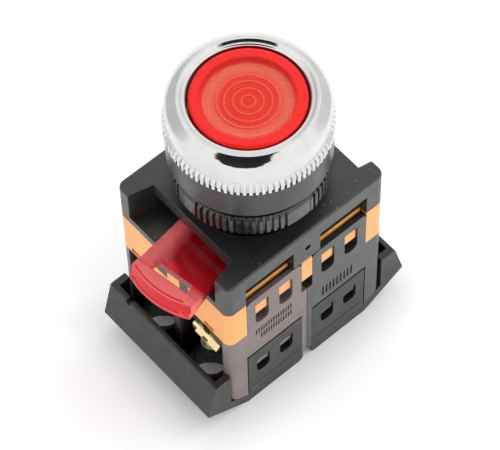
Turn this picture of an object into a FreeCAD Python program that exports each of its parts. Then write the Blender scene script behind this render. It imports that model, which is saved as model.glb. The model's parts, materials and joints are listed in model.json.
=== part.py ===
import FreeCAD, Part
import math
import os

# Illuminated 22 mm push button with two contact blocks.
# Millimetres, +Z up along the button's axis. The origin is on that axis, in the
# plane where the head's flange sits on the panel. The two contact blocks stand
# side by side along X, and the locking lever points to -X.

# Head, above the panel
FLANGE_R = 14.5
FLANGE_TOP = 6.95
SPIGOT_R = 12.6
SPIGOT_TOP = 13.85
BEZEL_R = 14.25
KNURL_TIP_R = 14.8
KNURL_TOP = 9.85
KNURL_COUNT = 86
RIM_R = 10.5
LENS_R = 10.15
LENS_TOP = 14.65
TRAVEL = 3.5

# Threaded neck and nut, below the panel
NECK_R = 11.0
THREAD_DEPTH = 0.45
THREAD_PITCH = 1.5
NECK_END = -19.3
NUT_TOP = -2.1
NUT_BOTTOM = -6.7
NUT_R = 14.1
NUT_COUNT = 70

# Body stack
HALF_X = 18.4
HALF_Y = 14.8
CORNER_R = 1.6
ADAPTER_TOP = -10.85
ADAPTER_BOTTOM = -19.7
POCKET_FLOOR = -18.0
POCKET_WALL_X = 13.4
NOTCH_TOP = -14.55
NOTCH_WALL_Y = 12.9
EAR_TOP = -20.05
RING_CAVITY_TOP = -14.1
RING_CAVITY_R = 12.6
OPENING_R = 11.75
SPACER_BOTTOM = -30.1
BLOCK_BOTTOM = -52.5
COVER_TOP = -39.15
COVER_BOTTOM = -55.1

# Snap ears shared by the spacer frame, the blocks and the covers
EAR_X0 = 1.3
EAR_X1 = 14.1
EAR_T = 1.8
COVER_EAR_T = 1.25
WINDOWS = [(3.45, 6.55), (9.0, 12.1)]

# Terminals and switching parts
TERMINAL_X = 15.6
TERMINAL_Y = 6.7
STRIP_TOP = -38.0
STRIP_T = 1.0
STRIP_W = 6.0
TAIL_TOP = -36.5
TAIL_T = 1.2
TAIL_HALF_W = 3.9
CLAMP_GAP = 2.2
SHANK_R = 1.45
HEAD_R = 2.2
HEAD_H = 2.0
DRIVER_X = 16.2
DRIVER_R = 3.2
FUNNEL_TOP = -47.6
BAY_X = 13.0
BAY_Y0 = 0.8
BAY_Y1 = 12.8
ROD_X = 8.1
ROD_R = 1.2
RIVET_T = 0.5
SLIDE_GAP = 0.08
TOUCH_GAP = 0.05

# Lever
LEVER_ANGLE = 189.2
LEVER_SWING = 21.0


def vec(x, y, z):
    return FreeCAD.Vector(x, y, z)


def box(x0, x1, y0, y1, z0, z1):
    return Part.makeBox(x1 - x0, y1 - y0, z1 - z0, vec(x0, y0, z0))


def cyl(r, z0, z1, x=0.0, y=0.0):
    return Part.makeCylinder(r, z1 - z0, vec(x, y, z0))


def ring(r_out, r_in, z0, z1):
    return cyl(r_out, z0, z1).cut(cyl(r_in, z0 - 1, z1 + 1))


def revolved(points):
    """Solid turned about Z from (radius, z) points."""
    wire = Part.makePolygon([vec(r, 0, z) for r, z in points + points[:1]])
    return Part.Face(wire).revolve(vec(0, 0, 0), vec(0, 0, 1), 360)


def lines(points):
    """Straight edges through (radius, z) points."""
    return [Part.makeLine(vec(a[0], 0, a[1]), vec(b[0], 0, b[1])) for a, b in zip(points, points[1:])]


def curve(points):
    """Smooth edge through (radius, z) points."""
    spline = Part.BSplineCurve()
    spline.interpolate([vec(r, 0, z) for r, z in points])
    return spline.toShape()


def turned_solid(edges):
    """Solid turned about Z from the edges of one closed profile."""
    wire = Part.Wire(Part.__sortEdges__(edges))
    return Part.Face(wire).revolve(vec(0, 0, 0), vec(0, 0, 1), 360)


def plate_xy(points, z0, z1):
    wire = Part.makePolygon([vec(x, y, z0) for x, y in points + points[:1]])
    return Part.Face(wire).extrude(vec(0, 0, z1 - z0))


def plate_xz(points, y0, y1):
    wire = Part.makePolygon([vec(x, y0, z) for x, z in points + points[:1]])
    return Part.Face(wire).extrude(vec(0, y1 - y0, 0))


def plate_yz(points, x0, x1):
    wire = Part.makePolygon([vec(x0, y, z) for y, z in points + points[:1]])
    return Part.Face(wire).extrude(vec(x1 - x0, 0, 0))


def fuse(shapes):
    return shapes[0].multiFuse(shapes[1:]).removeSplitter()


def cut(shape, tools):
    for tool in tools:
        shape = shape.cut(tool)
    return shape


def both_y(shape):
    return [shape, shape.mirror(vec(0, 0, 0), vec(0, 1, 0))]


def both_x(shape):
    return [shape, shape.mirror(vec(0, 0, 0), vec(1, 0, 0))]


def four_ways(shape):
    return [copy for half in both_x(shape) for copy in both_y(half)]


def turned(shape, angle):
    copy = shape.copy()
    copy.rotate(vec(0, 0, 0), vec(0, 0, 1), angle)
    return copy


def edges_along(shape, axis, test):
    """Straight edges along an axis (0, 1 or 2) whose middle passes the test."""
    picked = []
    for edge in shape.Edges:
        if not isinstance(edge.Curve, (Part.Line, Part.LineSegment)):
            continue
        step = edge.Vertexes[-1].Point.sub(edge.Vertexes[0].Point)
        if abs(step[axis]) > 0.999 * edge.Length and test(edge.CenterOfMass):
            picked.append(edge)
    return picked


def edges_at_z(shape, z, test):
    """Edges lying in the plane of height z whose middle passes the test."""
    picked = []
    for edge in shape.Edges:
        span = edge.BoundBox
        if abs(span.ZMin - z) < 1e-4 and abs(span.ZMax - z) < 1e-4 and test(edge.CenterOfMass):
            picked.append(edge)
    return picked


def body_box(z0, z1):
    """Block of the body's outline with its four upright corners rounded."""
    solid = box(-HALF_X, HALF_X, -HALF_Y, HALF_Y, z0, z1)
    return solid.makeFillet(CORNER_R, edges_along(solid, 2, lambda c: True))


def window_tool(x0, x1, z0, z1, y0, y1, r):
    """Cutter for a snap window, with its two lower corners rounded."""
    solid = box(x0, x1, y0, y1, z0, z1)
    low = edges_along(solid, 1, lambda c: c.z < (z0 + z1) / 2)
    return solid.makeFillet(r, low)


def wedge(x0, x1, z_low, z_high, y_base, y_tip):
    """Snap hook: a ramp that is thickest at its lower edge."""
    return plate_yz([(y_base, z_high), (y_base, z_low), (y_tip, z_low), (y_tip, z_low + 0.9)], x0, x1)


def tooth(r_in, r_tip, base_w, tip_w, z0, z1):
    points = [(r_in, -base_w / 2), (r_tip, -tip_w / 2), (r_tip, tip_w / 2), (r_in, base_w / 2)]
    return plate_xy(points, z0, z1)


def spring(mean_r, wire_r, z0, z1, turns, x=0.0, y=0.0):
    """Coil with ends ground flat at z0 and z1."""
    height = z1 - z0
    helix = Part.makeHelix(height / turns, height, mean_r)
    profile = Part.Wire(Part.makeCircle(wire_r, vec(mean_r, 0, 0), vec(0, 1, 0)))
    coil = Part.Wire(helix).makePipeShell([profile], True, True)
    coil.translate(vec(x, y, z0))
    return coil.common(box(x - 15, x + 15, y - 15, y + 15, z0, z1))


def make_bezel():
    """Chromed clamping ring, screwed on the head's spigot."""
    inner_r = SPIGOT_R + TOUCH_GAP
    base = FLANGE_TOP + TOUCH_GAP
    shoulder = curve([(BEZEL_R, 12.9), (14.08, 13.5), (13.6, 14.05), (12.9, 14.58), (12.3, 14.93)])
    ridge = curve([(12.3, 14.93), (12.0, 15.03), (11.65, 14.98)])
    lip = curve([(11.1, 14.74), (RIM_R + 0.1, 14.56), (RIM_R, 14.3)])
    lower = lines([(RIM_R, 14.3), (RIM_R, 13.95), (inner_r, 13.95), (inner_r, base), (BEZEL_R, base),
                   (BEZEL_R, 12.9)])
    edges = lower + [shoulder, ridge] + lines([(11.65, 14.98), (11.1, 14.74)]) + [lip]
    body = turned_solid(edges)
    one = tooth(BEZEL_R - 0.3, KNURL_TIP_R, 0.98, 0.56, base, KNURL_TOP)
    teeth = [turned(one, i * 360.0 / KNURL_COUNT) for i in range(KNURL_COUNT)]
    trim = revolved([
        (12.0, base), (14.55, base), (KNURL_TIP_R + 0.02, base + 0.3),
        (KNURL_TIP_R + 0.02, KNURL_TOP - 0.75), (14.2, KNURL_TOP), (14.2, 16), (10.0, 16), (10.0, 13.0),
        (12.0, 13.0),
    ])
    whole = body.multiFuse(teeth)
    upper = whole.common(box(-20, 20, -20, 20, KNURL_TOP, 20))
    lower = whole.common(box(-20, 20, -20, 20, 0, KNURL_TOP)).common(trim)
    return upper.fuse(lower).removeSplitter()


def make_lens_cap():
    """Clear red cap of the button, with a skirt that clips over the plunger."""
    cap = revolved([
        (0, 13.35), (9.35, 13.35), (9.35, 11.95), (LENS_R, 11.95), (LENS_R, LENS_TOP - 0.45),
        (LENS_R - 0.15, LENS_TOP - 0.15), (LENS_R - 0.5, LENS_TOP), (0, LENS_TOP + 0.05),
    ])
    return cap


def make_diffuser():
    """Disc under the cap with moulded concentric rings."""
    disc = cyl(9.2, 12.15, 12.95)
    rings = [ring(r + 0.18, r - 0.18, 12.9, 13.1) for r in (1.2, 2.6, 4.1, 5.3)]
    rings.append(cyl(0.45, 12.9, 13.1))
    return disc.multiFuse(rings)


def make_plunger():
    """Sleeve that carries the cap, slides in the head and works the two rods."""
    sleeve = revolved([
        (7.2, -15.0), (8.9, -15.0), (8.9, -5.0), (9.5, -4.8), (9.5, -3.05), (8.9, -3.05),
        (8.9, 10.6), (10.3, 10.6), (10.3, 11.85), (9.25, 11.85), (9.25, 12.1), (7.2, 12.1),
    ])
    windows = [turned(box(7.0, 9.1, -1.5, 1.5, -1.5, 9.0), 90 * i + 45) for i in range(4)]
    return cut(sleeve, windows)


def make_head_body():
    """Flange, spigot and threaded neck, with two bayonet lugs at the lower end."""
    body = revolved([
        (10.36, SPIGOT_TOP), (10.36, 12.9), (10.6, 12.6), (10.6, 4.2), (9.0, 4.2), (9.0, -3.0),
        (9.8, -3.0), (9.8, NECK_END), (10.5, NECK_END), (10.5, -13.2), (NECK_R - 0.2, -13.2),
        (NECK_R, -13.0), (NECK_R, 0), (FLANGE_R - 0.35, 0), (FLANGE_R, 0.35), (FLANGE_R, FLANGE_TOP - 0.2),
        (FLANGE_R - 0.2, FLANGE_TOP), (SPIGOT_R, FLANGE_TOP), (SPIGOT_R, SPIGOT_TOP - 0.3),
        (SPIGOT_R - 0.3, SPIGOT_TOP),
    ])
    grooves = []
    count = int((13.0 - 1.2) / THREAD_PITCH)
    for i in range(count):
        z = -1.3 - i * THREAD_PITCH
        grooves.append(revolved([
            (NECK_R + 0.1, z + 0.62), (NECK_R - THREAD_DEPTH, z + 0.1),
            (NECK_R - THREAD_DEPTH, z - 0.1), (NECK_R + 0.1, z - 0.62),
        ]))
    seal = ring(13.42, 12.18, -1, 0.82)
    body = cut(body, grooves + [seal])
    lug = plate_xy([(10.3, -2.3), (11.5, -2.3), (11.5, 2.3), (10.3, 2.3)], NECK_END, POCKET_FLOOR - 0.05)
    lug = lug.common(ring(11.5, 10.2, -20, -17))
    return fuse([body] + [turned(lug, a) for a in (90, 270)])


def make_panel_gasket():
    return ring(13.4, 12.2, 0.02, 0.8)


def make_mounting_nut():
    """Knurled ring nut with four plain sectors on its rim."""
    root_r = NUT_R - 0.65
    body = ring(root_r, NECK_R + TOUCH_GAP, NUT_BOTTOM, NUT_TOP)
    one = tooth(root_r - 0.4, NUT_R, 0.85, 0.62, NUT_BOTTOM, NUT_TOP)
    plain_half = 9.5
    parts = []
    for i in range(NUT_COUNT):
        angle = i * 360.0 / NUT_COUNT
        offset = abs((angle - 177.0 + 45) % 90 - 45)
        if offset > plain_half:
            parts.append(turned(one, angle))
    for k in range(4):
        pad = ring(NUT_R - 0.15, root_r - 0.4, NUT_BOTTOM, NUT_TOP)
        slope = math.tan(math.radians(plain_half))
        sector = plate_xy([(0, 0), (20, -20 * slope), (20, 20 * slope)], NUT_BOTTOM - 1, NUT_TOP + 1)
        parts.append(pad.common(turned(sector, 177.0 + 90 * k)))
    whole = body.multiFuse(parts)
    trim = revolved([
        (10.0, NUT_BOTTOM), (13.5, NUT_BOTTOM), (NUT_R + 0.02, NUT_BOTTOM + 0.45),
        (NUT_R + 0.02, NUT_TOP - 0.55), (13.4, NUT_TOP), (10.0, NUT_TOP),
    ])
    return whole.common(trim).removeSplitter()


def make_lamp_holder():
    base = cyl(6.2, ADAPTER_BOTTOM, -18.5)
    tube = cyl(5.2, -18.6, -4.0)
    bore = cyl(4.62, -17.4, -3.0)
    slots = [turned(box(4.0, 6.0, -0.7, 0.7, -9.0, -3.5), 90 * i) for i in range(2)]
    return cut(base.fuse(tube), [bore] + slots).removeSplitter()


def make_lamp_base():
    shell = cyl(4.55, -16.3, -4.6)
    tip = cyl(1.6, -17.3, -16.2)
    collar = ring(4.55, 4.0, -4.7, -3.6)
    return shell.fuse(tip).fuse(collar).removeSplitter()


def make_lamp_bulb():
    """Glass envelope with a domed end."""
    body = cyl(3.95, -4.55, 3.4)
    dome = Part.makeSphere(3.95, vec(0, 0, 3.4)).common(box(-5, 5, -5, 5, 3.4, 8))
    return body.fuse(dome).removeSplitter()


def make_adapter():
    """Black coupling that locks to the neck and carries the frame and blocks."""
    solid = body_box(ADAPTER_BOTTOM, ADAPTER_TOP)
    top = edges_at_z(solid, ADAPTER_TOP, lambda c: True)
    solid = solid.makeFillet(0.45, top)
    mouth = HALF_X + 1
    left = plate_xy(
        [(-POCKET_WALL_X, -10.3), (-POCKET_WALL_X, 10.3), (-mouth, 11.85), (-mouth, -11.85)],
        POCKET_FLOOR, ADAPTER_TOP + 1)
    right = plate_xy(
        [(15.6, -10.85), (15.6, 10.85), (mouth, 11.6), (mouth, -11.6)],
        POCKET_FLOOR, ADAPTER_TOP + 1)
    slit = box(-POCKET_WALL_X - 1, -8, -10.2, 10.2, POCKET_FLOOR, RING_CAVITY_TOP)
    pip = cyl(0.65, 0, 1.2)
    pip.rotate(vec(0, 0, 0), vec(1, 0, 0), -90)
    pip.translate(vec(0.2, -HALF_Y - 0.1, -16.0))
    cuts = [
        left, right, slit, pip,
        cyl(OPENING_R, ADAPTER_BOTTOM - 1, ADAPTER_TOP + 1),
        cyl(RING_CAVITY_R, POCKET_FLOOR, RING_CAVITY_TOP),
    ]
    cuts += four_ways(box(3.1, 14.15, -HALF_Y - 1, -NOTCH_WALL_Y, ADAPTER_BOTTOM - 1, NOTCH_TOP))
    solid = cut(solid, cuts)
    tabs = []
    for y0, y1 in ((1.95, 5.05), (-3.85, -1.65)):
        tabs += both_x(box(HALF_X - 0.9, HALF_X - 0.05, y0, y1, -26.7, ADAPTER_BOTTOM + 0.2))
    return fuse([solid] + tabs)


def make_lever_arm():
    """Arm along +X: a slotted plate with a swollen, turned-down tip."""
    centre = 9.3
    low = -18.8
    arm = plate_xy([(11.6, -6.4), (24.4, -6.8), (24.4, 6.8), (11.6, 6.4)], -17.7, -15.9)
    face = Part.makeCone(17.0, 16.4, 3.3, vec(centre, 0, low))
    bead = cyl(17.2, low, low + 0.4, centre, 0)
    tip = face.fuse(bead).cut(cyl(15.3, low - 1, -17.4, centre, 0))
    tip = tip.common(box(22.75, 28.0, -6.8, 6.8, -20, -14))
    swell = cyl(16.1, -16.0, -15.2, centre, 0).common(box(22.75, 28.0, -6.3, 5.2, -17, -14))
    swell = swell.makeFillet(0.35, edges_at_z(swell, -15.2, lambda c: True))
    skirt = plate_xz([(20.4, -17.6), (25.0, -17.6), (25.0, low), (23.6, low)], 5.6, 6.8)
    arm = fuse([arm, tip, swell] + both_y(skirt))
    slot = box(20.75, 22.7, -4.1, 4.1, -22, -15)
    slot = slot.makeFillet(0.5, edges_along(slot, 2, lambda c: True))
    dimples = []
    for y in (-5.4, 5.4):
        dimple = cyl(0.5, 0, 1.0)
        dimple.rotate(vec(0, 0, 0), vec(0, 1, 0), 90)
        dimple.translate(vec(25.0, y, -17.9))
        dimples.append(dimple)
    return cut(arm, [slot] + dimples)


def make_lock_lever():
    """Locking ring under the adapter's roof, with its arm out through the slit."""
    body = ring(RING_CAVITY_R - 0.3, 10.9, POCKET_FLOOR + 0.05, RING_CAVITY_TOP - 0.3)
    width = 28.0
    slope = math.tan(math.radians(width / 2))
    gate = plate_xy([(0, 0), (15, -15 * slope), (15, 15 * slope)], -20, -10)
    gate = gate.common(cyl(11.7, -20, -10))
    arm = turned(make_lever_arm().cut(cyl(11.5, -22, -10)), LEVER_ANGLE)
    gates = [turned(gate, a + LEVER_SWING) for a in (90, 270)]
    return fuse([cut(body, gates), arm])


def make_spacer_frame():
    """Bright frame between the adapter and the two contact blocks."""
    solid = body_box(SPACER_BOTTOM, ADAPTER_BOTTOM)
    face = HALF_Y - EAR_T - 0.05
    hollow = box(-16.6, 16.6, -11.4, 11.4, SPACER_BOTTOM - 1, -21.4)
    top = ADAPTER_BOTTOM
    bevel = plate_yz([
        (HALF_Y - 0.8, top), (HALF_Y, top - 0.8), (HALF_Y + 1, top - 0.8), (HALF_Y + 1, top + 1),
        (HALF_Y - 0.8, top + 1),
    ], -EAR_X0, EAR_X0)
    cuts = [hollow] + both_y(bevel)
    cuts += four_ways(box(EAR_X0 - 0.06, EAR_X1 + 0.06, face, HALF_Y + 1, SPACER_BOTTOM - 1, top + 1))
    cuts += both_y(box(-EAR_X0, EAR_X0, face, HALF_Y + 1, SPACER_BOTTOM - 1, -26.4))
    cuts += [cyl(ROD_R + SLIDE_GAP, -25, -15, x, 0) for x in (-ROD_X, ROD_X)]
    for y0, y1 in ((1.85, 5.15), (-3.95, -1.55)):
        cuts += both_x(box(HALF_X - 0.95, HALF_X + 1, y0, y1, -26.8, ADAPTER_BOTTOM + 1))
    for y0, y1 in ((9.4, 11.9), (-10.6, -8.1)):
        cuts += both_x(box(HALF_X - 0.35, HALF_X + 1, y0, y1, -29.8, -28.6))
    for x0, x1 in WINDOWS:
        cuts += four_ways(box(x0, x1, 11.0, face + 0.1, -28.9, -25.9))
    solid = cut(solid, cuts)
    outline = [
        (face - 0.3, -21.4), (face + 0.42, -21.4), (face + 0.42, -19.6), (face + 0.27, -19.45),
        (face + 0.05, -19.45), (face + 0.05, top), (face - 0.3, top),
    ]
    adds = four_ways(plate_yz(outline, 3.3, 13.9))
    for x0, x1 in WINDOWS:
        outline = [(face - 0.2, -25.9), (HALF_Y - 0.4, -25.9), (HALF_Y - 0.4, -22.8), (HALF_Y - 0.7, -22.45),
                   (face - 0.2, -22.45)]
        adds += four_ways(plate_yz(outline, x0 + 0.12, x1 - 0.12))
    return fuse([solid] + adds)


def label_ticks(rows):
    """Plain recessed ticks where the housing has its moulded legend."""
    ticks = []
    for z, height, width, pitch, count in rows:
        for i in range(count):
            x = 3.7 + i * pitch
            ticks.append(box(x, x + width, -HALF_Y - 1, -HALF_Y + 0.3, z, z + height))
    return ticks


def make_contact_block(ticks):
    """Housing of one contact block, drawn on the +X side."""
    inner = 0.06
    solid = box(inner, HALF_X, -HALF_Y, HALF_Y, BLOCK_BOTTOM, SPACER_BOTTOM)
    solid = solid.makeFillet(CORNER_R, edges_along(solid, 2, lambda c: c.x > 10))
    slope = plate_xz([(14.6, BLOCK_BOTTOM - 1), (14.6, BLOCK_BOTTOM), (19.0, -49.9), (19.0, -60)], -20, 20)
    cavity = box(2.0, 12.0, -11.6, 11.6, BLOCK_BOTTOM - 1, -31.9)
    bay = box(BAY_X, HALF_X + 1, BAY_Y0, BAY_Y1, BLOCK_BOTTOM - 1, TAIL_TOP + 0.05)
    porch = box(16.95, HALF_X + 1, BAY_Y0, BAY_Y1, TAIL_TOP - 1, SPACER_BOTTOM + 1)
    nut_seat = box(TERMINAL_X - 2.2, TERMINAL_X + 1.4, TERMINAL_Y - 2.2, TERMINAL_Y + 2.2, TAIL_TOP, -34.9)
    shank_bore = cyl(SHANK_R + 0.2, TAIL_TOP, -33.4, TERMINAL_X, TERMINAL_Y)
    gate = box(11.5, BAY_X + 0.5, TERMINAL_Y - STRIP_W / 2 - 0.05, TERMINAL_Y + STRIP_W / 2 + 0.05,
               BLOCK_BOTTOM - 1, TAIL_TOP + 0.05)
    inset = box(EAR_X0 - 0.08, EAR_X1 + 0.25, HALF_Y - COVER_EAR_T - 0.05, HALF_Y + 1,
                BLOCK_BOTTOM - 1, COVER_TOP + 0.6)
    cuts = [slope, cavity, cyl(ROD_R + SLIDE_GAP, -33, -29, ROD_X, 0)]
    for tool in (bay, porch, nut_seat, shank_bore, gate, inset):
        cuts += both_y(tool)
    for x0, x1 in WINDOWS:
        cuts += both_y(box(x0, x1, 11.0, HALF_Y, -46.7, -44.3))
    solid = cut(solid, cuts + ticks)
    ear = box(EAR_X0, EAR_X1, HALF_Y - EAR_T, HALF_Y, SPACER_BOTTOM - 0.5, EAR_TOP)
    ear = ear.makeFillet(1.1, edges_along(ear, 1, lambda c: c.z > -25))
    ear = ear.cut(box(3.2, 14.0, 12.0, HALF_Y - 0.85, -21.5, EAR_TOP + 1))
    for x0, x1 in WINDOWS:
        ear = ear.cut(window_tool(x0, x1, -28.9, -22.3, 12.0, 16.0, 1.3))
    adds = both_y(ear)
    base = HALF_Y - COVER_EAR_T - 0.3
    for x0, x1 in WINDOWS:
        adds += both_y(wedge(x0 + 0.15, x1 - 0.15, -44.3, -42.45, base, HALF_Y - 0.4))
    return fuse([solid] + adds)


def make_terminal_cover():
    """Clip-on tray under one block, drawn on the +X side."""
    outline = [(1.9, COVER_BOTTOM), (14.4, COVER_BOTTOM), (24.1, -49.6), (21.9, -41.2), (18.5, -41.2),
               (18.5, -50.3), (14.6, BLOCK_BOTTOM - 0.1), (1.0, BLOCK_BOTTOM - 0.1), (1.0, -54.2),
               (1.26, -54.84)]
    solid = plate_xz(outline, -HALF_Y, HALF_Y)
    outer = edges_along(solid, 1, lambda c: c.x > 14.0 and c.x > 20)
    solid = solid.makeFillet(0.5, outer)
    tub_outline = [(18.0, -39.0), (20.4, -39.0), (22.85, -49.1), (13.9, -53.6), (13.9, -52.0)]
    tub = plate_xz(tub_outline, -13.4, 13.4)
    well = box(2.2, 14.0, -13.4, 13.4, COVER_BOTTOM + 1.6, -52.0)
    notch = box(18.0, 23.5, 9.0, 10.2, -42.0, -40.0)
    solid = cut(solid, [tub, well, notch])
    ear = box(EAR_X0, EAR_X1, HALF_Y - COVER_EAR_T, HALF_Y, COVER_BOTTOM + 0.5, COVER_TOP)
    for x0, x1 in WINDOWS:
        ear = ear.cut(window_tool(x0, x1, -46.7, -42.3, 12.0, 16.0, 1.2))
    groove = box(EAR_X0 + 0.6, EAR_X1 - 0.6, HALF_Y - 0.15, HALF_Y + 1, -50.55, -50.3)
    funnel = cyl(DRIVER_R + 0.8, -56.0, FUNNEL_TOP, DRIVER_X, TERMINAL_Y)
    low = COVER_BOTTOM + 0.01
    limit = [(BAY_X + 0.05, low), (BAY_X + 0.05, -40), (24, -40), (24, -49.66), (14.4, low)]
    funnel = funnel.common(plate_xz(limit, -20, 20))
    pin = cyl(1.0, COVER_BOTTOM + 1.0, -51.6, ROD_X, 0)
    solid = fuse([solid, pin] + both_y(ear) + both_y(funnel))
    driver = cyl(DRIVER_R, -60, -44, DRIVER_X, TERMINAL_Y)
    return cut(solid, both_y(driver) + both_y(groove))


def make_fixed_contact(rivet_up):
    """Joggled brass strip from a terminal tail to a contact point, drawn at +X and +Y."""
    y0 = TERMINAL_Y - STRIP_W / 2
    low = STRIP_TOP - STRIP_T
    strip = plate_xz([
        (6.3, low), (11.9, low), (13.2, TAIL_TOP - TAIL_T), (15.0, TAIL_TOP - TAIL_T), (15.0, TAIL_TOP),
        (12.75, TAIL_TOP), (11.55, STRIP_TOP), (6.3, STRIP_TOP),
    ], y0, y0 + STRIP_W)
    tail = make_wavy_tail()
    nut = box(TERMINAL_X - 2.1, TERMINAL_X + 1.3, TERMINAL_Y - 2.1, TERMINAL_Y + 2.1, TAIL_TOP - 0.1, -35.0)
    if rivet_up:
        rivet = cyl(1.5, STRIP_TOP - 0.1, STRIP_TOP + RIVET_T, ROD_X, TERMINAL_Y)
    else:
        rivet = cyl(1.5, low - RIVET_T, low + 0.1, ROD_X, TERMINAL_Y)
    hole = cyl(SHANK_R + SLIDE_GAP, -42, -30, TERMINAL_X, TERMINAL_Y)
    return fuse([strip, tail, nut, rivet]).cut(hole)


def make_wavy_tail():
    """Outer end of the strip: a wide plate bent down, with an uneven outer edge."""
    y0 = TERMINAL_Y - TAIL_HALF_W
    y1 = TERMINAL_Y + TAIL_HALF_W
    top = TAIL_TOP
    low = TAIL_TOP - TAIL_T
    bent = [
        (13.2, low), (16.9, low), (17.75, low - 0.65), (18.05, top - 1.0), (17.95, top - 0.75), (17.1, top),
        (13.2, top),
    ]
    plate = plate_xz(bent, y0 + 0.7, y1)
    end = box(17.55, 20.0, y0 - 1, y0 + 2.0, low - 3, top)
    dip = box(17.7, 20.0, y0 + 3.8, y0 + 5.2, low - 3, top)
    return cut(plate, [end, dip])


def make_clamp_washer():
    """Square pressure plate with its sides turned up to hold the wire."""
    top = TAIL_TOP - TAIL_T - CLAMP_GAP
    x0 = BAY_X + 0.25
    x1 = 16.8
    plate = box(x0, x1, TERMINAL_Y - 3.2, TERMINAL_Y + 3.2, top - 1.0, top)
    plate = plate.makeFillet(0.5, edges_along(plate, 2, lambda c: True))
    ridges = []
    for x in (x0 + 0.3, x1 - 0.7):
        ridges.append(box(x, x + 0.4, TERMINAL_Y - 2.4, TERMINAL_Y + 2.4, top - 0.1, top + 0.15))
    hole = cyl(SHANK_R + 0.05, top - 2, top + 2, TERMINAL_X, TERMINAL_Y)
    return fuse([plate] + ridges).cut(hole)


def make_terminal_screw():
    """Slotted screw that is driven from below through the cover."""
    seat = TAIL_TOP - TAIL_T - CLAMP_GAP - 1.0
    head = cyl(HEAD_R, seat - HEAD_H, seat, TERMINAL_X, TERMINAL_Y)
    head = head.makeFillet(0.4, edges_at_z(head, seat - HEAD_H, lambda c: True))
    shank = cyl(SHANK_R, seat - 0.1, seat + 5.2, TERMINAL_X, TERMINAL_Y)
    shank = shank.makeChamfer(0.4, edges_at_z(shank, seat + 5.2, lambda c: True))
    slot = box(TERMINAL_X - 0.4, TERMINAL_X + 0.4, TERMINAL_Y - 4, TERMINAL_Y + 4, seat - 3, seat - 1.1)
    cross = box(TERMINAL_X - 4, TERMINAL_X + 4, TERMINAL_Y - 0.4, TERMINAL_Y + 0.4, seat - 3, seat - 1.1)
    cross = cross.common(cyl(1.6, seat - 4, seat, TERMINAL_X, TERMINAL_Y))
    return cut(fuse([head, shank]), [slot, cross])


def make_push_rod(bridge_low, bridge_high):
    """Rod worked by the plunger, with a seat for its bridge and its spring."""
    rod = cyl(ROD_R, -46.5, -15.0 - TOUCH_GAP, ROD_X, 0)
    seat = cyl(2.5, -43.4, -42.3, ROD_X, 0)
    parts = [rod, seat]
    if bridge_low < -39:
        parts.append(cyl(2.0, -42.4, bridge_low, ROD_X, 0))
        parts.append(cyl(2.0, bridge_high, bridge_high + 1.2, ROD_X, 0))
    else:
        parts.append(cyl(2.0, -42.4, bridge_low, ROD_X, 0))
    neck = ring(4.0, 0.9, bridge_low, bridge_high)
    neck.translate(vec(ROD_X, 0, 0))
    return fuse(parts).cut(neck)


def make_contact_bridge(bridge_low, bridge_high, rivet_up):
    """Brass bar with a contact at each end, held on the rod."""
    bar = box(ROD_X - 1.9, ROD_X + 1.9, -8.9, 8.9, bridge_low, bridge_high)
    bar = bar.makeFillet(0.7, edges_along(bar, 2, lambda c: True))
    adds = []
    for y in (-TERMINAL_Y, TERMINAL_Y):
        if rivet_up:
            adds.append(cyl(1.4, bridge_high - 0.1, bridge_high + RIVET_T, ROD_X, y))
        else:
            adds.append(cyl(1.4, bridge_low - RIVET_T, bridge_low + 0.1, ROD_X, y))
    return fuse([bar] + adds).cut(cyl(0.9, bridge_low - 1, bridge_high + 1, ROD_X, 0))


def save(name, shape):
    """Write one node, and stop if it isn't a single sound solid."""
    if shape.ShapeType != "Solid" and len(shape.Solids) == 1:
        shape = shape.Solids[0]
    if shape.ShapeType != "Solid" or not shape.isValid():
        raise ValueError(name + " isn't one valid solid: %d" % len(shape.Solids))
    shape.exportStep("parts/" + name + ".step")


def save_pair(left_name, right_name, left, right):
    save(left_name, left.mirror(vec(0, 0, 0), vec(1, 0, 0)))
    save(right_name, right)


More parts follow.
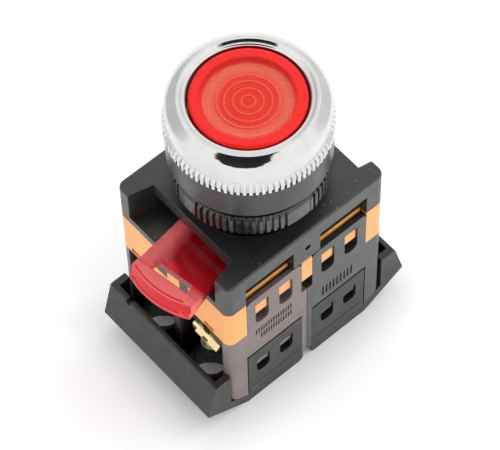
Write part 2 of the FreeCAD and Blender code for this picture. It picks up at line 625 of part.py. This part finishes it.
def main():
    os.makedirs("parts", exist_ok=True)
    save("bezel", make_bezel())
    save("lens_cap", make_lens_cap())
    save("diffuser", make_diffuser())
    save("plunger", make_plunger())
    save("return_spring", spring(10.0, 0.3, 4.2, 10.6, 3.5))
    save("head_body", make_head_body())
    save("panel_gasket", make_panel_gasket())
    save("mounting_nut", make_mounting_nut())
    save("lamp_holder", make_lamp_holder())
    save("lamp_base", make_lamp_base())
    save("lamp_bulb", make_lamp_bulb())
    save("adapter", make_adapter())
    save("lock_lever", make_lock_lever())
    save("spacer_frame", make_spacer_frame())

    left_block = make_contact_block(label_ticks([(-32.6, 1.7, 0.3, 0.58, 15), (-34.9, 1.7, 0.3, 0.58, 13)]))
    right_block = make_contact_block(label_ticks([(-36.9, 2.9, 0.4, 0.86, 9)]))
    save_pair("contact_block_left", "contact_block_right", left_block, right_block)
    cover = make_terminal_cover()
    save_pair("terminal_cover_left", "terminal_cover_right", cover, cover)

    # The left block closes its circuit when pressed, the right one opens it.
    no_low = STRIP_TOP + RIVET_T + TRAVEL + TOUCH_GAP + RIVET_T
    nc_high = STRIP_TOP - STRIP_T - RIVET_T - TOUCH_GAP - RIVET_T
    save_pair("push_rod_left", "push_rod_right",
              make_push_rod(no_low, no_low + 0.8), make_push_rod(nc_high - 0.8, nc_high))
    save_pair("contact_bridge_left", "contact_bridge_right",
              make_contact_bridge(no_low, no_low + 0.8, False),
              make_contact_bridge(nc_high - 0.8, nc_high, True))
    coil = spring(1.9, 0.22, COVER_BOTTOM + 1.6, -43.4, 8, ROD_X, 0)
    save_pair("rod_spring_left", "rod_spring_right", coil, coil)

    pieces = {
        "fixed_contact": (make_fixed_contact(True), make_fixed_contact(False)),
        "clamp_washer": (make_clamp_washer(), make_clamp_washer()),
        "terminal_screw": (make_terminal_screw(), make_terminal_screw()),
    }
    for name, (left, right) in pieces.items():
        for end, left_end, right_end in zip(("back", "front"), both_y(left), both_y(right)):
            save_pair(name + "_left_" + end, name + "_right_" + end, left_end, right_end)


main()
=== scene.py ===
import bpy
import json
import math
from mathutils import Matrix, Vector


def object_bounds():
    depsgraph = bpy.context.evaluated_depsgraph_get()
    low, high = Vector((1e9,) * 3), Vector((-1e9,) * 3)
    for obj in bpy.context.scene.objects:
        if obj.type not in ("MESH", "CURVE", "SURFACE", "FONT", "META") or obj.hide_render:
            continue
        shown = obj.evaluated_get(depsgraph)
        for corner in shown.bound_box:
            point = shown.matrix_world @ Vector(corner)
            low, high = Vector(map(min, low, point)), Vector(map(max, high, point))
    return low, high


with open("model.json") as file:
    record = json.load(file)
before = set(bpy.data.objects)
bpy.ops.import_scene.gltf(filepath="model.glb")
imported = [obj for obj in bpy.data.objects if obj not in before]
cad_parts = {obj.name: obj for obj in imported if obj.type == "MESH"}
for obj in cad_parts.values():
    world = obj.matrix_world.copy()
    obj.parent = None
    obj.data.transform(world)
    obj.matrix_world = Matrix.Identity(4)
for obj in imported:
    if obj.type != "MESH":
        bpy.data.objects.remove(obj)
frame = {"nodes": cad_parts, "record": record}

# The looks of an illuminated push button. Every CAD piece keeps its shape and gets a node
# material, and the scene gets a pale floor, a white studio and a camera.

CAD_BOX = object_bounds()
NODES = frame["nodes"]
MM = 0.001

# The terminal bays, whose insides get painted shade: their side walls in Y, their mouths in X, and their
# tops.
BAY_SIDE = 12.9 * MM
BAY_MOUTH = 18.3 * MM
BAY_TOP = -30.2 * MM

# Above these heights the contacts and the screws get painted shadow, as they lie in the bays' full shadow.
CONTACT_SHADE = -36.35 * MM
SCREW_SHADE = -36.7 * MM

# Round the button's axis: the cap's clear window, its solid skirt, and the disc's moulded rings.
LENS_CLEAR = 7.8 * MM
LENS_SOLID = 8.5 * MM
DISC_RINGS = (1.2 * MM, 2.6 * MM, 4.1 * MM, 5.3 * MM)

# The lever points away from the axis at this angle from +X, and swells from LEVER_TIP on.
LEVER_ANGLE = math.radians(189.2)
LEVER_OUT = (math.cos(LEVER_ANGLE), math.sin(LEVER_ANGLE), 0.0)
LEVER_SIDE = (math.sin(LEVER_ANGLE), -math.cos(LEVER_ANGLE), 0.0)
LEVER_TIP = 20.6 * MM

# Half sizes of the floor, and of the area under the body, where the floor hardly glows, a painted shadow.
FLOOR_HALF = 3.0
UNDER_X = 22.0 * MM
UNDER_Y = 14.0 * MM


# ---------------------------------------------------------------- node helpers

class Tree:
    """Short names for building one node tree, of a material or of the world."""

    def __init__(self, owner, output="ShaderNodeOutputMaterial", coords="Object"):
        owner.use_nodes = True
        self.owner = owner
        self.nt = owner.node_tree
        self.nt.nodes.clear()
        self.out = self.node(output)
        self.coords = self.node("ShaderNodeTexCoord").outputs[coords]

    def node(self, kind, **settings):
        made = self.nt.nodes.new(kind)
        for key, value in settings.items():
            setattr(made, key, value)
        return made

    def put(self, socket, value):
        """Link value if it's a socket, else set it. A colour of three parts becomes opaque."""
        if isinstance(value, bpy.types.NodeSocket):
            self.nt.links.new(value, socket)
            return
        if isinstance(value, tuple) and len(value) < len(socket.default_value):
            value = (*value, 1.0)
        socket.default_value = value

    def noise(self, scale, detail=4.0, rough=0.55, coords=None, output="Fac"):
        """Cloudy noise with about scale cells to the metre."""
        n = self.node("ShaderNodeTexNoise")
        self.put(n.inputs["Vector"], coords or self.coords)
        n.inputs["Scale"].default_value = scale
        n.inputs["Detail"].default_value = detail
        n.inputs["Roughness"].default_value = rough
        return n.outputs[output]

    def voronoi(self, scale):
        """Distance to scattered points, about scale of them to the metre."""
        n = self.node("ShaderNodeTexVoronoi")
        self.put(n.inputs["Vector"], self.coords)
        n.inputs["Scale"].default_value = scale
        return n.outputs["Distance"]

    def ramp(self, value, low, high, to_low=0.0, to_high=1.0, **settings):
        """The range low to high mapped to the range to_low to to_high, and held there."""
        n = self.node("ShaderNodeMapRange", **settings)
        self.put(n.inputs["Value"], value)
        n.inputs["From Min"].default_value = low
        n.inputs["From Max"].default_value = high
        n.inputs["To Min"].default_value = to_low
        n.inputs["To Max"].default_value = to_high
        return n.outputs["Result"]

    def spread(self, noise, to_low=0.0, to_high=1.0):
        """Noise, which seldom leaves 0.3 to 0.7, spread over a whole range."""
        return self.ramp(noise, 0.3, 0.7, to_low, to_high)

    def math(self, operation, a, b=0.0):
        n = self.node("ShaderNodeMath", operation=operation)
        self.put(n.inputs[0], a)
        self.put(n.inputs[1], b)
        return n.outputs[0]

    def vector(self, operation, *values, output="Vector"):
        n = self.node("ShaderNodeVectorMath", operation=operation)
        for socket, value in zip(n.inputs, values):
            self.put(socket, value)
        return n.outputs[output]

    def dot(self, a, b):
        return self.vector("DOT_PRODUCT", a, b, output="Value")

    def mix(self, factor, a, b, blend="MIX"):
        """Colour a turning into colour b."""
        n = self.node("ShaderNodeMix", data_type="RGBA", blend_type=blend)
        self.put(n.inputs["Factor"], factor)
        self.put(n.inputs["A"], a)
        self.put(n.inputs["B"], b)
        return n.outputs["Result"]

    def mix_shaders(self, factor, a, b):
        """Shader a turning into shader b."""
        n = self.node("ShaderNodeMixShader")
        for socket, value in zip(n.inputs, (factor, a, b)):
            self.put(socket, value)
        return n.outputs[0]

    def bump(self, height, strength, distance, normal=None):
        n = self.node("ShaderNodeBump")
        self.put(n.inputs["Height"], height)
        n.inputs["Strength"].default_value = strength
        n.inputs["Distance"].default_value = distance
        if normal is not None:
            self.put(n.inputs["Normal"], normal)
        return n.outputs["Normal"]

    def rounded(self, radius):
        """Normal with every edge softened by radius, in metres."""
        n = self.node("ShaderNodeBevel", samples=4)
        n.inputs["Radius"].default_value = radius
        return n.outputs["Normal"]

    def face_normal(self):
        return self.node("ShaderNodeNewGeometry").outputs["Normal"]

    def edge_mask(self, radius):
        """About 1 along edges and 0 on open faces."""
        flatness = self.dot(self.rounded(radius), self.face_normal())
        return self.ramp(self.math("SUBTRACT", 1.0, flatness), 0.01, 0.2)

    def deep(self, reach):
        """1 where reach finds little open space, as far inside a recess, and 0 in the open."""
        n = self.node("ShaderNodeAmbientOcclusion", samples=4)
        n.inputs["Distance"].default_value = reach
        return self.ramp(n.outputs["AO"], 0.5, 0.15)

    def xyz(self):
        """The X, Y and Z coordinates, in metres."""
        split = self.node("ShaderNodeSeparateXYZ")
        self.put(split.inputs[0], self.coords)
        return split.outputs["X"], split.outputs["Y"], split.outputs["Z"]

    def radius_from_axis(self):
        """Distance from the button's axis, in metres."""
        x, y, _ = self.xyz()
        return self.math("SQRT", self.math("ADD", self.math("POWER", x, 2.0), self.math("POWER", y, 2.0)))

    def ripples(self, distance, pitch):
        """A wave from -1 to 1 that repeats at every pitch, in metres."""
        return self.math("SINE", self.math("MULTIPLY", distance, 2 * math.pi / pitch))

    def in_bay(self):
        """Where painted shade goes: 1 deep inside the terminal bays, a little less at their mouths, 0 on the
        outside of a block.
        """
        x, y, z = self.xyz()
        across = self.ramp(self.math("ABSOLUTE", y), BAY_SIDE + 0.05 * MM, BAY_SIDE - 0.05 * MM)
        inward = self.ramp(self.math("ABSOLUTE", x), BAY_MOUTH, BAY_MOUTH - 1.1 * MM, 0.6, 1.0)
        below = self.ramp(z, BAY_TOP, BAY_TOP - 1.3 * MM, 0.7, 1.0)
        return self.math("MULTIPLY", across, self.math("MULTIPLY", inward, below))

    def principled(self, **values):
        n = self.node("ShaderNodeBsdfPrincipled")
        for key, value in values.items():
            self.put(n.inputs[key.replace("_", " ")], value)
        return n.outputs[0]

    def finish(self, shader):
        self.put(self.out.inputs["Surface"], shader)
        return self.owner


def material_tree(name):
    return Tree(bpy.data.materials.new(name))


def scaled(colour, gain, lift=0.0):
    """A colour made lighter or darker, and held at 1."""
    return tuple(min(1.0, part * gain + lift) for part in colour)


# ------------------------------------------------------------------- materials

def plastic(name, colour, rough=0.42, grain=0.35, mottling=0.12, wear_and_highlight=0.25, specular=0.5,
            dust=0.0, recess=0.0, bays=0.0):
    """Moulded plastic: uneven tone, fine spark-eroded grain with painted glints, and lighter edges, partly
    worn and partly a painted highlight.

    Dust adds pale specks, recess lays painted shade in deep holes, and bays lays painted shade in the
    terminal bays.
    """
    t = material_tree(name)
    cloudy = t.spread(t.noise(140, 5.0, 0.6))
    base = t.mix(cloudy, scaled(colour, 1 - mottling), scaled(colour, 1 + mottling, 0.002))
    # painted glints: random lighter specks, standing in for the grain catching the light
    painted_glints = t.ramp(t.noise(4600, 2.0, 0.6), 0.45, 0.75, 0.0, 0.7)
    base = t.mix(painted_glints, base, scaled(colour, 1.3, 0.004))
    # Lighter edges, partly worn and partly a painted highlight along the rounded edges.
    uneven = t.ramp(t.noise(900, 4.0, 0.7), 0.35, 0.7, 0.25, 1.0)
    rubbed_and_highlit = t.math("MULTIPLY", t.edge_mask(0.22 * MM), uneven)
    base = t.mix(t.math("MULTIPLY", rubbed_and_highlit, wear_and_highlight), base, scaled(colour, 1.6, 0.035))
    if dust:
        specks = t.ramp(t.voronoi(750), 0.13, 0.07)
        drifts = t.ramp(t.noise(420, 2.0), 0.48, 0.56)
        pale = t.math("MULTIPLY", t.math("MULTIPLY", specks, drifts), dust)
        base = t.mix(pale, base, (0.45, 0.44, 0.42))
    # painted shade: darker far inside recesses, where little light gets in
    if recess:
        base = t.mix(t.math("MULTIPLY", t.deep(8.0 * MM), recess), base, scaled(colour, 0.1))
    # painted shade: the terminal bays go near black, as in their deep shadow
    if bays:
        base = t.mix(t.math("MULTIPLY", t.in_bay(), bays), base, (0.004, 0.004, 0.004))
    gloss = t.spread(t.noise(320, 4.0, 0.65), rough - 0.07, rough + 0.08)
    height = t.math("ADD", t.noise(5200, 3.0, 0.7), t.math("MULTIPLY", t.noise(700, 3.0), 0.6))
    normal = t.bump(height, grain, 0.03 * MM, t.rounded(0.2 * MM))
    return t.finish(t.principled(Base_Color=base, Roughness=gloss, Normal=normal,
                                 Specular_IOR_Level=specular))


def chrome(name):
    """Bright plating: near mirror, with faint waviness, fine turned lines and a little haze."""
    t = material_tree(name)
    base = t.mix(t.spread(t.noise(260, 4.0, 0.6)), (0.64, 0.645, 0.64), (0.72, 0.72, 0.71))
    turned = t.ripples(t.radius_from_axis(), 0.1208 * MM)
    lines = t.math("MULTIPLY", turned, t.ramp(t.noise(90, 2.0), 0.35, 0.75))
    haze = t.math("ADD", t.noise(1500, 4.0, 0.7), t.math("MULTIPLY", lines, 0.06))
    gloss = t.ramp(haze, 0.3, 0.75, 0.035, 0.10)
    wave = t.bump(t.noise(95, 2.0), 0.05, 0.15 * MM, t.rounded(0.1 * MM))
    normal = t.bump(lines, 0.03, 0.004 * MM, wave)
    return t.finish(t.principled(Base_Color=base, Roughness=gloss, Normal=normal, Metallic=1.0))


def metal(name, light, dark, rough, black_above=None):
    """Pressed or turned metal with small stains, drawn lines and painted highlights on its edges, blackened
    above a height as painted shadow.
    """
    t = material_tree(name)
    stain = t.noise(420, 5.0, 0.65)
    base = t.mix(t.ramp(stain, 0.35, 0.7), dark, light)
    # painted highlight: lighter along the edges
    base = t.mix(t.math("MULTIPLY", t.edge_mask(0.15 * MM), 0.5), base, scaled(light, 1.15))
    # painted shadow: near black above the given height, with a ragged edge
    if black_above is not None:
        _, _, z = t.xyz()
        ragged = t.math("ADD", z, t.spread(stain, -0.08 * MM, 0.08 * MM))
        shadow = t.ramp(ragged, black_above, black_above + 0.1 * MM)
        base = t.mix(shadow, base, (0.035, 0.028, 0.022))
    stretch = t.node("ShaderNodeMapping")
    stretch.inputs["Scale"].default_value = (1.0, 9.0, 9.0)
    t.put(stretch.inputs["Vector"], t.coords)
    drawn = t.noise(1400, 3.0, 0.7, coords=stretch.outputs["Vector"])
    gloss = t.spread(drawn, rough - 0.08, rough + 0.1)
    normal = t.bump(drawn, 0.12, 0.02 * MM, t.rounded(0.12 * MM))
    return t.finish(t.principled(Base_Color=base, Roughness=gloss, Normal=normal, Metallic=1.0))


def shadow_glass(t, shader, tint):
    """Let light through: the shader for what is seen, a tinted clear one for shadows."""
    clear = t.node("ShaderNodeBsdfTransparent")
    t.put(clear.inputs["Color"], tint)
    shadow = t.node("ShaderNodeLightPath").outputs["Is Shadow Ray"]
    return t.finish(t.mix_shaders(shadow, shader, clear.outputs[0]))


def lens_red(name):
    """Clear red cap, solid bright red at its skirt, with fine grain in the plastic."""
    t = material_tree(name)
    grain = t.ramp(t.noise(2700, 5.0, 0.75), 0.38, 0.66)
    gloss = t.ramp(grain, 0.0, 1.0, 0.05, 0.14)
    normal = t.bump(t.noise(900, 3.0), 0.08, 0.02 * MM, t.rounded(0.15 * MM))
    window = t.principled(Base_Color=t.mix(grain, (1.0, 0.50, 0.42), (0.86, 0.36, 0.30)),
                          Roughness=gloss, Normal=normal, Transmission_Weight=1.0, IOR=1.27)
    skirt = t.principled(Base_Color=t.mix(grain, (0.95, 0.022, 0.018), (0.82, 0.012, 0.010)),
                         Roughness=gloss, Normal=normal, IOR=1.35)
    outward = t.ramp(t.radius_from_axis(), LENS_CLEAR, LENS_SOLID)
    return shadow_glass(t, t.mix_shaders(outward, window, skirt), (1.0, 0.90, 0.88))


def lever_red(name):
    """Translucent crimson plastic with painted light and shade: darker at the root and on its end face,
    lighter at the tip and one side, and lighter edges.
    """
    t = material_tree(name)
    along = t.dot(t.coords, LEVER_OUT)
    across = t.dot(t.coords, LEVER_SIDE)
    facing = t.dot(t.face_normal(), LEVER_OUT)

    # painted shade: darker at the root, which lies in the head's shadow and mirrors the dark head
    root = t.mix(t.ramp(along, 13.0 * MM, 19.5 * MM), (0.50, 0.002, 0.016), (0.80, 0.014, 0.032))
    # painted light: lighter towards one side and the tip, standing in for light scattered through the
    # plastic
    side = t.ramp(across, 2.0 * MM, 4.9 * MM, 0.0, 0.9)
    tip = t.ramp(along, LEVER_TIP, LEVER_TIP + 1.2 * MM, 0.0, 0.95)
    flow = t.spread(t.noise(220, 3.0, 0.5), -0.12, 0.12)
    base = t.mix(t.math("ADD", flow, t.math("MAXIMUM", tip, side)), root, (0.99, 0.185, 0.185))
    # painted shade: faces turned out along the lever, such as the end face, are darker
    front = t.ramp(facing, 0.12, 0.45)
    base = t.mix(t.math("MULTIPLY", front, 0.92), base, (0.66, 0.010, 0.022))
    # painted highlight: lighter along the edges
    base = t.mix(t.math("MULTIPLY", t.edge_mask(0.2 * MM), 0.45), base, (0.99, 0.28, 0.28))

    scratches = t.ramp(t.noise(3200, 5.0, 0.75), 0.35, 0.8, 0.08, 0.13)
    matt_tip = t.ramp(along, LEVER_TIP - 0.1 * MM, LEVER_TIP + 1.4 * MM, 0.0, 0.16)
    clear_root = t.ramp(along, LEVER_TIP, LEVER_TIP + 1.4 * MM, 0.6, 0.0)
    shader = t.principled(
        Base_Color=base,
        Roughness=t.math("ADD", scratches, matt_tip),
        Normal=t.bump(t.noise(420, 2.0), 0.05, 0.03 * MM, t.rounded(0.18 * MM)),
        Transmission_Weight=t.math("MULTIPLY", clear_root, t.math("SUBTRACT", 1.0, side)),
        IOR=1.5,
        Specular_IOR_Level=t.ramp(front, 0.0, 1.0, 0.22, 0.12))
    return shadow_glass(t, shader, (0.95, 0.35, 0.38))


def disc(name):
    """Moulded disc seen through the cap: red rim, salmon band and fine rings with painted highlights."""
    t = material_tree(name)
    radius = t.radius_from_axis()
    base = t.mix(t.spread(t.noise(520, 4.0)), (0.99, 0.105, 0.070), (0.88, 0.125, 0.085))
    # painted highlight: lighter lines on the moulded rings
    for ring in DISC_RINGS:
        off = t.math("ABSOLUTE", t.math("SUBTRACT", radius, ring))
        base = t.mix(t.ramp(off, 0.30 * MM, 0.05 * MM, 0.0, 0.85), base, (1.0, 0.52, 0.42))

    wobble = t.math("MULTIPLY", t.ramp(t.noise(260, 3.0), 0.2, 0.8, -1.0, 1.0), 0.14 * MM)
    uneven = t.math("ADD", radius, wobble)
    band = t.math("MULTIPLY", t.ramp(uneven, 4.7 * MM, 6.7 * MM), t.ramp(uneven, 8.25 * MM, 7.6 * MM))
    turned = t.ramp(t.ripples(uneven, 0.6614 * MM), -1.0, 1.0, 0.82, 1.0)
    streaks = t.spread(t.noise(150, 3.0), 0.75, 1.0)
    band = t.math("MULTIPLY", t.math("MULTIPLY", band, turned), streaks)
    base = t.mix(band, base, (1.0, 0.88, 0.74))
    base = t.mix(t.ramp(uneven, 7.6 * MM, 8.2 * MM), base, (0.99, 0.10, 0.08))
    grain = t.ramp(t.noise(3400, 4.0, 0.7), 0.35, 0.7, 0.0, 0.35)
    base = t.mix(grain, base, (0.80, 0.20, 0.16), "MULTIPLY")
    return t.finish(t.principled(Base_Color=base, Roughness=0.5,
                                 Normal=t.bump(t.noise(2600, 3.0), 0.2, 0.03 * MM)))


def glass(name):
    """Clear blown glass of the lamp, with faint streaks."""
    t = material_tree(name)
    streak = t.noise(500, 3.0)
    shader = t.principled(Base_Color=t.mix(streak, (0.93, 0.95, 0.95), (1.0, 1.0, 1.0)),
                          Roughness=t.spread(streak, 0.01, 0.05), Transmission_Weight=1.0, IOR=1.5)
    return shadow_glass(t, shader, (1.0, 1.0, 1.0))


PLASTICS = {
    "head_black": dict(colour=(0.020, 0.021, 0.022), rough=0.32, grain=0.3),
    "seal_rubber": dict(colour=(0.02, 0.02, 0.02), rough=0.75, grain=0.6),
    "nut_black": dict(colour=(0.010, 0.010, 0.011), rough=0.30, grain=0.3, specular=1.0),
    "socket_white": dict(colour=(0.72, 0.71, 0.67), rough=0.4),
    "plunger_white": dict(colour=(0.70, 0.69, 0.65), rough=0.4),
    "rod_white": dict(colour=(0.72, 0.71, 0.68), rough=0.35),
    "adapter_black": dict(colour=(0.012, 0.013, 0.012), rough=0.35, grain=0.8, specular=0.85,
                          wear_and_highlight=0.4, dust=0.4),
    "frame_orange": dict(colour=(0.97, 0.41, 0.118), rough=0.36, grain=0.2, mottling=0.05,
                         wear_and_highlight=0.12, recess=0.7),
    "block_brown": dict(colour=(0.192, 0.145, 0.141), rough=0.42, grain=0.45, recess=0.95, bays=0.95),
    "block_grey": dict(colour=(0.026, 0.028, 0.030), rough=0.38, grain=0.45, specular=0.85,
                       recess=0.9, bays=0.95),
    "cover_grey": dict(colour=(0.009, 0.010, 0.011), rough=0.46, grain=0.4, specular=0.66,
                       wear_and_highlight=0.6, recess=0.9),
}

METALS = {
    "brass": dict(light=(0.86, 0.70, 0.36), dark=(0.66, 0.50, 0.22), rough=0.28),
    "spring_steel": dict(light=(0.72, 0.72, 0.74), dark=(0.5, 0.5, 0.52), rough=0.25),
    "contact_brass": dict(light=(0.93, 0.80, 0.45), dark=(0.80, 0.64, 0.32), rough=0.32,
                          black_above=CONTACT_SHADE),
    "screw_steel": dict(light=(0.82, 0.78, 0.58), dark=(0.60, 0.56, 0.38), rough=0.3,
                        black_above=SCREW_SHADE),
}

OTHERS = {
    "chrome": chrome,
    "lens_red": lens_red,
    "lever_red": lever_red,
    "diffuser_white": disc,
    "lamp_glass": glass,
}


def dress():
    """Give every CAD node the material of its slot."""
    materials = {slot: plastic(slot, **look) for slot, look in PLASTICS.items()}
    materials.update({slot: metal(slot, **look) for slot, look in METALS.items()})
    materials.update({slot: make(slot) for slot, make in OTHERS.items()})
    for entry in frame["record"]["subparts"]:
        mesh = NODES[entry["node"]].data
        mesh.materials.clear()
        mesh.materials.append(materials[entry["material_slot"]])


# ---------------------------------------------------- floor, light and camera

def direction(azimuth, elevation):
    """Unit vector towards an azimuth (0 is -Y, +90 is +X) and an elevation, in degrees."""
    a, e = math.radians(azimuth), math.radians(elevation)
    return Vector((math.sin(a) * math.cos(e), -math.cos(a) * math.cos(e), math.sin(e)))


def add_object(name, data):
    obj = bpy.data.objects.new(name, data)
    bpy.context.scene.collection.objects.link(obj)
    return obj


def floor():
    """Wide pale floor under the covers. Painted light: it glows faintly away from the object and hardly
    under it, which paints a contact shadow.
    """
    level = CAD_BOX[0][2]
    half = FLOOR_HALF
    mesh = bpy.data.meshes.new("floor")
    corners = [(-half, -half, level), (half, -half, level), (half, half, level), (-half, half, level)]
    mesh.from_pydata(corners, [], [(0, 1, 2, 3)])
    obj = add_object("floor", mesh)
    t = material_tree("floor")
    tone = t.mix(t.spread(t.noise(3.0, 3.0)), (0.90, 0.90, 0.90), (0.93, 0.93, 0.93))
    x, y, _ = t.xyz()
    beyond_x = t.math("SUBTRACT", t.math("ABSOLUTE", x), UNDER_X)
    beyond_y = t.math("SUBTRACT", t.math("ABSOLUTE", y), UNDER_Y)
    # painted light and shadow: the floor glows faintly away from the body and hardly under it
    glow = t.ramp(t.math("MAXIMUM", beyond_x, beyond_y), -4.0 * MM, 9.0 * MM, 0.02, 0.28)
    shader = t.principled(Base_Color=tone, Roughness=0.75, Emission_Color=tone, Emission_Strength=glow)
    mesh.materials.append(t.finish(shader))


def studio(strength, darkest, ragged, patches):
    """White studio dome with darker patches, which the glossy pieces mirror.

    Each patch is a direction, the angles from it where the patch is full and where it has
    faded away, and what it adds to the dome's strength, which stays above darkest. Ragged is
    how far the patches' outlines wander.
    """
    sky = bpy.data.worlds.new("studio")
    t = Tree(sky, "ShaderNodeOutputWorld", "Generated")
    drift = t.vector("SUBTRACT", t.noise(9.0, 3.0, 0.5, output="Color"), (0.5, 0.5, 0.5))
    ray = t.vector("NORMALIZE", t.vector("MULTIPLY_ADD", drift, (ragged, ragged, ragged), t.coords))
    level = strength
    for towards, full, faded, change in patches:
        patch = t.ramp(t.dot(ray, towards), math.cos(math.radians(faded)), math.cos(math.radians(full)),
                       0.0, change, interpolation_type="SMOOTHSTEP")
        level = t.math("ADD", level, patch)
    back = t.node("ShaderNodeBackground")
    t.put(back.inputs["Strength"], t.math("MAXIMUM", level, darkest))
    bpy.context.scene.world = t.finish(back.outputs[0])


def key_light():
    """One broad soft lamp high on the right, left out of the reflections."""
    place = direction(75, 48) * 0.9
    target = Vector((0, 0, -10 * MM))
    lamp = bpy.data.lights.new("key", "AREA")
    lamp.size = 0.8
    lamp.energy = 2.2
    obj = add_object("key", lamp)
    aim = (target - place).to_track_quat("-Z", "Y")
    obj.matrix_world = Matrix.Translation(place) @ aim.to_matrix().to_4x4()
    obj.visible_glossy = False


def camera():
    """Looks down at the button from its front left corner."""
    azimuth, elevation, roll = -39.65, 58.68, math.radians(-1.815)
    target = Vector((-4.68, -5.08, -15.05)) * MM
    distance = 466.8 * MM
    back = direction(azimuth, elevation)
    right = direction(azimuth + 90, 0)
    up = back.cross(right)
    x = right * math.cos(roll) + up * math.sin(roll)
    y = up * math.cos(roll) - right * math.sin(roll)
    data = bpy.data.cameras.new("camera")
    data.lens = 192.4
    data.sensor_width = 36.0
    data.clip_start = 0.01
    data.clip_end = 20.0
    obj = add_object("camera", data)
    turn = Matrix((x, y, back)).transposed().to_4x4()
    obj.matrix_world = Matrix.Translation(target + back * distance) @ turn
    bpy.context.scene.camera = obj


dress()
floor()
studio(1.5, 0.03, 0.2, [
    (direction(-50, 57), 22, 24.5, -1.46),    # black, towards the camera
    (direction(-44, 75), 18.5, 21.5, -1.46),  # black, above the first one
    (direction(-162, 18), 18, 44, -0.62),     # soft grey, low at the back left
    (direction(84, 16), 14, 40, -0.42),       # soft grey, low at the right
    (direction(140, 0), 15, 45, -0.25),       # faint, level at the back right
    (direction(142, 57), 6, 20, -0.2),        # faint, high at the back right
])
key_light()
camera()
bpy.context.scene.view_settings.view_transform = "Standard"
